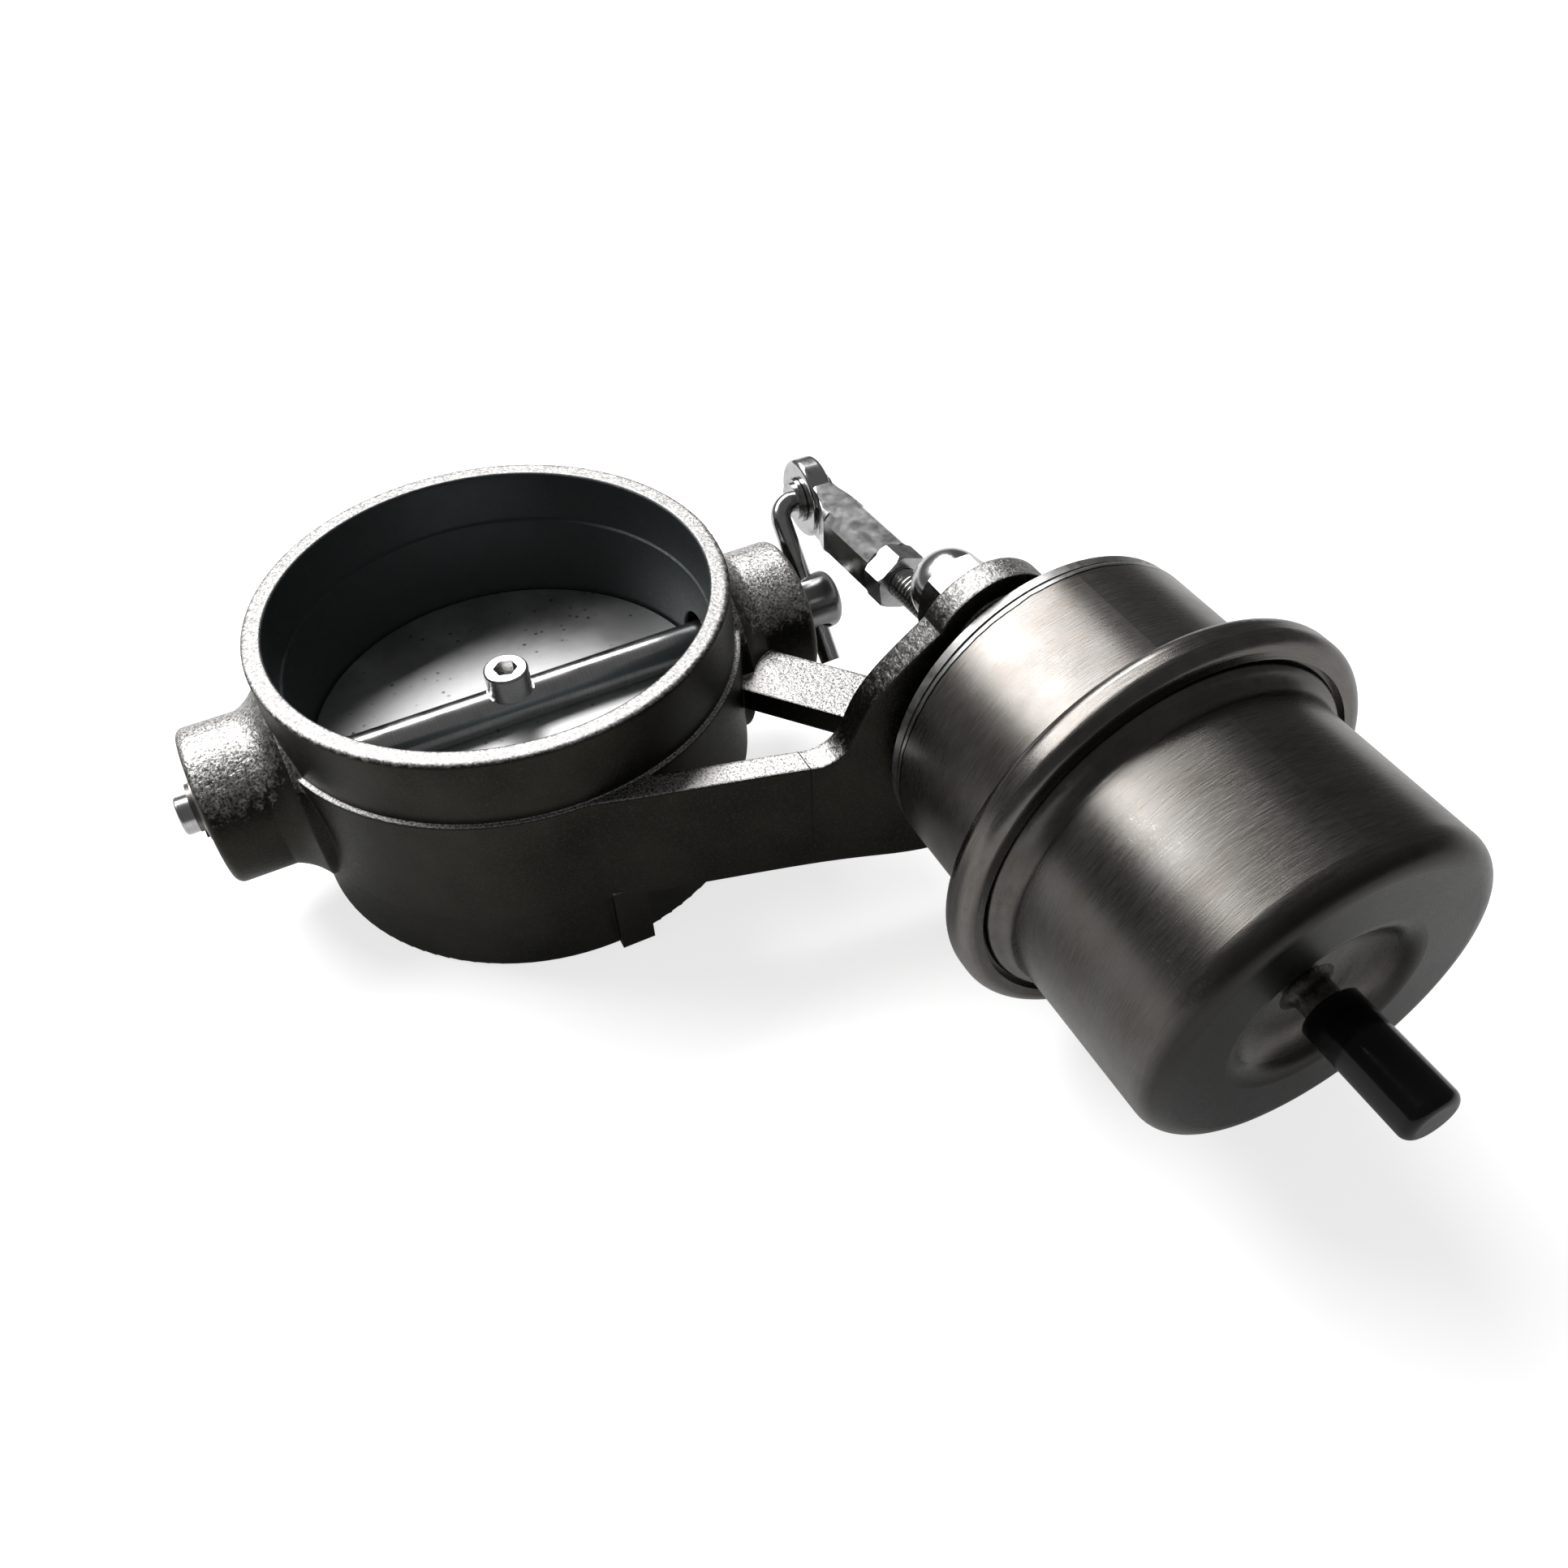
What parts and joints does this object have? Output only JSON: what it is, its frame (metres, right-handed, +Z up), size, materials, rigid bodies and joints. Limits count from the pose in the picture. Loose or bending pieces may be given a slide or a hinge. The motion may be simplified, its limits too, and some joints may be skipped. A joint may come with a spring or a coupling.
{
  "type": "exhaust cutout valve",
  "caption": "Vacuum-operated exhaust cutout: a butterfly disc in a cast two-ended housing, turned through a lever and rod by a spring-return diaphragm actuator.",
  "frame": {"origin": "centre of the lower mouth, in the plane of the housing's bottom rim", "axes": "+Z up along the bore, +Y along the disc's shaft towards the lever, +X towards the actuator's vacuum pipe"},
  "size_m": [0.1925, 0.1719, 0.0754],
  "materials": {
    "casting": "as-cast, satin, linished rim",
    "turned_steel": "turned, bright",
    "disc_steel": "cold-rolled, dull with small dark spots",
    "screw_steel": "satin",
    "bush_bronze": "sintered",
    "plated_wire": "bright zinc plate",
    "plated_rod_end": "bright plate",
    "plated_fastener": "bright plate",
    "clip_steel": "spring steel",
    "can_steel": "spun stainless sheet, fine circular marks",
    "ring_steel": "rolled stainless, bright",
    "pipe_steel": "dull with braze ring",
    "inner_steel": "plain pressed",
    "spring_steel": "oil tempered",
    "diaphragm_rubber": "matt",
    "cap_rubber": "smooth, glossy"
  },
  "bodies": {
    "valve": {"housing": "casting", "bush_near": "bush_bronze", "bush_far": "bush_bronze", "front_plate": "inner_steel", "front_can": "can_steel", "crimp_ring": "ring_steel", "rear_can": "can_steel", "vacuum_nipple": "pipe_steel", "mounting_studs": "plated_fastener", "lock_washers": "plated_fastener", "dome_nuts": "plated_fastener", "spring_seat": "inner_steel", "return_spring": "spring_steel", "diaphragm": "diaphragm_rubber"},
    "shaft": {"shaft": "turned_steel", "disc": "disc_steel", "disc_screw": "screw_steel", "screw_nut": "screw_steel", "thrust_washer": "plated_fastener", "retaining_clip": "clip_steel", "lever_wire": "plated_wire", "pin_washer": "plated_fastener", "pin_clip": "clip_steel"},
    "rod": {"rod_end": "plated_rod_end", "jam_nut": "plated_fastener", "actuator_rod": "plated_fastener"},
    "piston": {"piston": "inner_steel", "diaphragm_retainer": "inner_steel"},
    "cap": {"port_cap": "cap_rubber"}
  },
  "joints": [
    {"name": "disc_hinge", "type": "hinge", "parent": "valve", "child": "shaft", "pos_m": [0, 0, 0.0255], "axis": [0, 1, 0], "range_deg": [0, 90], "stiffness_Nm_per_rad": 0.5, "springref_deg": -45.84},
    {"name": "rod_pivot", "type": "hinge", "parent": "shaft", "child": "rod", "pos_m": [-0.0141, 0.0694, 0.0396], "axis": [0, 1, 0], "range_deg": [-90, 0]},
    {"name": "piston_slide", "type": "slide", "parent": "valve", "child": "piston", "axis": [1, 0, 0], "range_m": [0, 0.0282], "deforming": ["return_spring", "diaphragm"]},
    {"name": "cap_pull", "type": "slide", "parent": "valve", "child": "cap", "axis": [1, 0, 0], "range_m": [0, 0.025]}
  ],
  "couplings": [
    {"joint": "rod_pivot", "follows": "disc_hinge", "ratio": -1},
    {"joint": "piston_slide", "follows": "disc_hinge", "m_per_rad": 0.017952}
  ]
}
